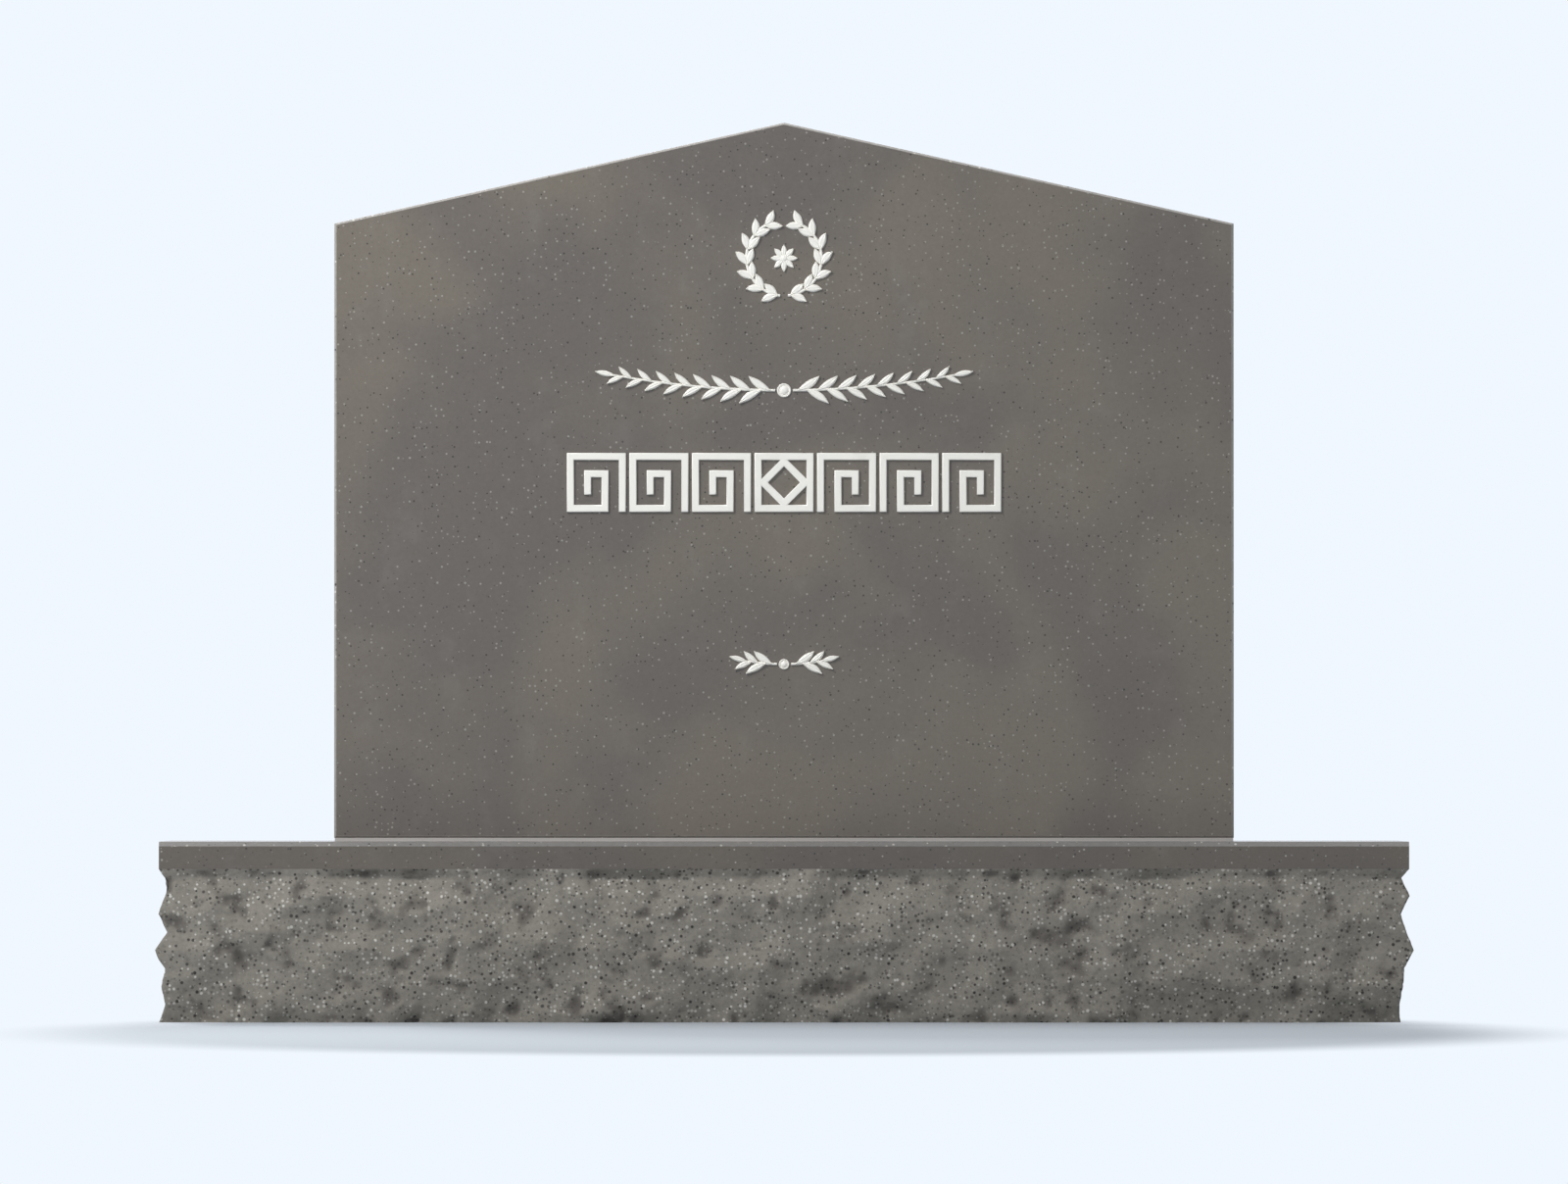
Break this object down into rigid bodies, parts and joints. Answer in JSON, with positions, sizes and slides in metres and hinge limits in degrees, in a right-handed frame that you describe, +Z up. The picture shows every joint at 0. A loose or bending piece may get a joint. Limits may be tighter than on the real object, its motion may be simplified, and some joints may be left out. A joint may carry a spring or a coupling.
{
  "type": "headstone",
  "caption": "Peaked brown-grey granite headstone: polished tablet with raised white ornament on a rock-pitched granite base with a polished top and margin.",
  "frame": {"origin": "middle of the base's underside, on the floor", "axes": "+X to the right along the base's length, +Z up, -Y is the decorated front"},
  "size_m": [1.0633, 0.305, 0.7614],
  "materials": {
    "polished_granite": "gloss",
    "pitched_granite": "matte",
    "setting_compound": "matte",
    "stainless_steel": "satin",
    "white_enamel": "satin"
  },
  "bodies": {
    "root": {"base": "pitched_granite", "tablet": "polished_granite", "setting_joint": "setting_compound", "dowel_left": "stainless_steel", "dowel_right": "stainless_steel", "wreath_left": "white_enamel", "wreath_right": "white_enamel", "wreath_rosette": "white_enamel", "laurel_left": "white_enamel", "laurel_right": "white_enamel", "laurel_boss": "white_enamel", "key_left_3": "white_enamel", "key_left_2": "white_enamel", "key_left_1": "white_enamel", "key_middle": "white_enamel", "key_right_1": "white_enamel", "key_right_2": "white_enamel", "key_right_3": "white_enamel", "sprig_left": "white_enamel", "sprig_right": "white_enamel", "sprig_boss": "white_enamel"}
  },
  "joints": []
}
